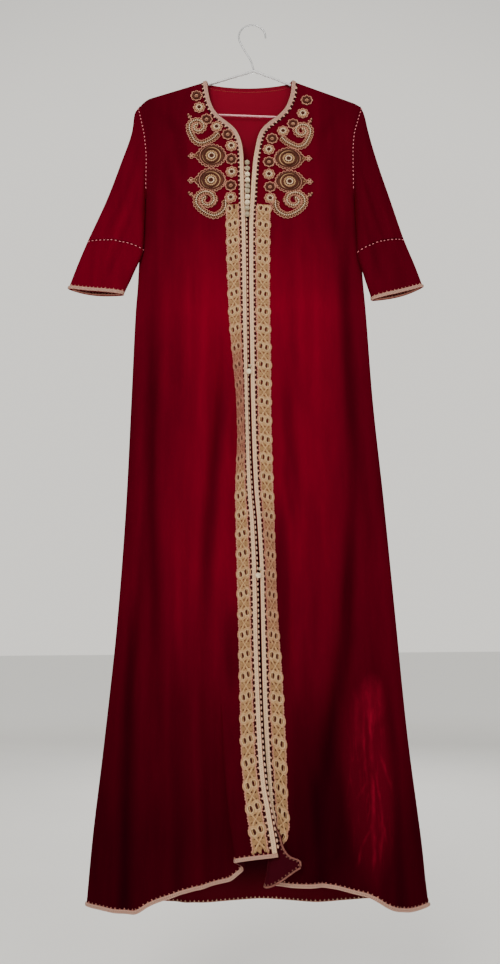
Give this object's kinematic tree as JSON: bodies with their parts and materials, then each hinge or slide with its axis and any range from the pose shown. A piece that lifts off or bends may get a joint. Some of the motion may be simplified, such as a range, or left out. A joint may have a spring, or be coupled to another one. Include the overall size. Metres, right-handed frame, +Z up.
{
  "type": "moroccan kaftan on a hanger",
  "caption": "Ankle-length velvet kaftan, open down the front, braid-edged with lace bands and chest appliques, hanging flat on a coated wire hanger.",
  "frame": {"origin": "inside the top of the hook's bend, where a rod or knob carries the hanger", "axes": "+Z up, the garment's front towards -Y, its left side as seen from the front towards -X"},
  "size_m": [0.6083, 0.1215, 1.5009],
  "materials": {
    "velvet": "soft pile velvet, deep wine red",
    "braid": "woven cream and pink braid",
    "lace": "gold and beige corded lace",
    "button": "knotted silky cord",
    "hanger": "translucent whitish coating",
    "hook_wire": "bare grey wire"
  },
  "bodies": {
    "root": {"front_left": "velvet", "front_right": "velvet", "back": "velvet", "sleeve_left": "velvet", "sleeve_right": "velvet", "cuff_left": "velvet", "cuff_right": "velvet", "braid_front_left": "braid", "braid_front_right": "braid", "braid_neck_back": "braid", "braid_hem_left": "braid", "braid_hem_right": "braid", "braid_hem_back": "braid", "braid_cuff_left": "braid", "braid_cuff_right": "braid", "lace_left": "lace", "lace_right": "lace", "applique_left": "lace", "applique_right": "lace", "button_1": "button", "button_2": "button", "button_3": "button", "button_4": "button", "button_5": "button", "button_6": "button", "button_7": "button", "button_8": "button", "button_9": "button", "button_10": "button", "button_11": "button", "button_12": "button", "hanger": "hanger", "hanger_hook": "hook_wire"}
  },
  "joints": []
}
